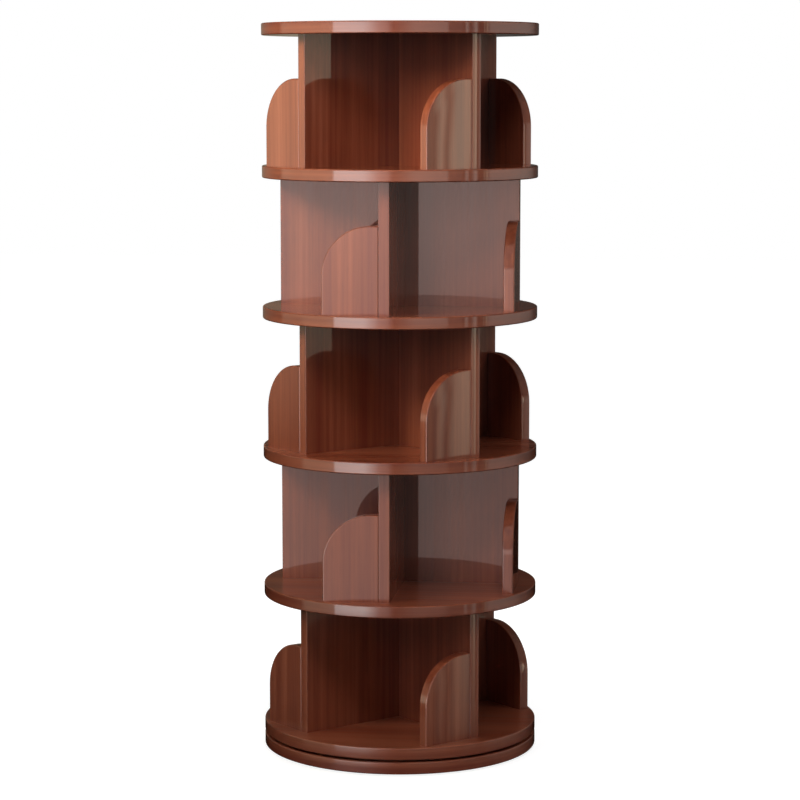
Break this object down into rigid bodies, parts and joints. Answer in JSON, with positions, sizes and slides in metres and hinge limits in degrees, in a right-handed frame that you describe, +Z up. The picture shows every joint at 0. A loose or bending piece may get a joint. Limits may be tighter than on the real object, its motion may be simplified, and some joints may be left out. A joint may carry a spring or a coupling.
{
  "type": "revolving bookcase",
  "caption": "Round tower of open book tiers with crossed dividers and low rounded stops, which turns as one piece on a flat round base.",
  "frame": {"origin": "on the floor under the centre of the base, on the axis that the tower turns on", "axes": "+Z up along the turning axis; X and Y along the dividers of the second and fourth tier from the bottom"},
  "size_m": [0.46, 0.46, 1.2173],
  "materials": {
    "lacquered_veneer": "red-brown straight-grained veneer under clear gloss lacquer",
    "zinc_steel": "zinc plated",
    "bearing_steel": "ground and polished",
    "cage_plastic": "moulded, black",
    "pad_rubber": "die-cut sheet, black"
  },
  "bodies": {
    "base": {"base_board": "lacquered_veneer", "foot_pad_1": "pad_rubber", "foot_pad_2": "pad_rubber", "foot_pad_3": "pad_rubber", "foot_pad_4": "pad_rubber", "lower_race": "zinc_steel", "base_screw_1": "zinc_steel", "base_screw_2": "zinc_steel", "base_screw_3": "zinc_steel", "base_screw_4": "zinc_steel"},
    "tower": {"floor_board": "lacquered_veneer", "shelf_board_1": "lacquered_veneer", "shelf_board_2": "lacquered_veneer", "shelf_board_3": "lacquered_veneer", "shelf_board_4": "lacquered_veneer", "top_board": "lacquered_veneer", "tier_1_divider_lower": "lacquered_veneer", "tier_1_divider_upper": "lacquered_veneer", "tier_1_stop_1": "lacquered_veneer", "tier_1_stop_2": "lacquered_veneer", "tier_1_stop_3": "lacquered_veneer", "tier_1_stop_4": "lacquered_veneer", "tier_2_divider_lower": "lacquered_veneer", "tier_2_divider_upper": "lacquered_veneer", "tier_2_stop_1": "lacquered_veneer", "tier_2_stop_2": "lacquered_veneer", "tier_2_stop_3": "lacquered_veneer", "tier_2_stop_4": "lacquered_veneer", "tier_3_divider_lower": "lacquered_veneer", "tier_3_divider_upper": "lacquered_veneer", "tier_3_stop_1": "lacquered_veneer", "tier_3_stop_2": "lacquered_veneer", "tier_3_stop_3": "lacquered_veneer", "tier_3_stop_4": "lacquered_veneer", "tier_4_divider_lower": "lacquered_veneer", "tier_4_divider_upper": "lacquered_veneer", "tier_4_stop_1": "lacquered_veneer", "tier_4_stop_2": "lacquered_veneer", "tier_4_stop_3": "lacquered_veneer", "tier_4_stop_4": "lacquered_veneer", "tier_5_divider_lower": "lacquered_veneer", "tier_5_divider_upper": "lacquered_veneer", "tier_5_stop_1": "lacquered_veneer", "tier_5_stop_2": "lacquered_veneer", "tier_5_stop_3": "lacquered_veneer", "tier_5_stop_4": "lacquered_veneer", "upper_race": "zinc_steel", "floor_screw_1": "zinc_steel", "floor_screw_2": "zinc_steel", "floor_screw_3": "zinc_steel", "floor_screw_4": "zinc_steel"},
    "cage": {"ball_cage": "cage_plastic", "bearing_ball_1": "bearing_steel", "bearing_ball_2": "bearing_steel", "bearing_ball_3": "bearing_steel", "bearing_ball_4": "bearing_steel", "bearing_ball_5": "bearing_steel", "bearing_ball_6": "bearing_steel", "bearing_ball_7": "bearing_steel", "bearing_ball_8": "bearing_steel"}
  },
  "joints": [
    {"name": "tower_spin", "type": "hinge", "parent": "base", "child": "tower", "pos_m": [0, 0, 0.0225], "axis": [0, 0, 1], "continuous": true},
    {"name": "cage_spin", "type": "hinge", "parent": "base", "child": "cage", "pos_m": [0, 0, 0.0225], "axis": [0, 0, 1], "continuous": true}
  ],
  "couplings": [
    {"joint": "cage_spin", "follows": "tower_spin", "ratio": 0.5}
  ]
}
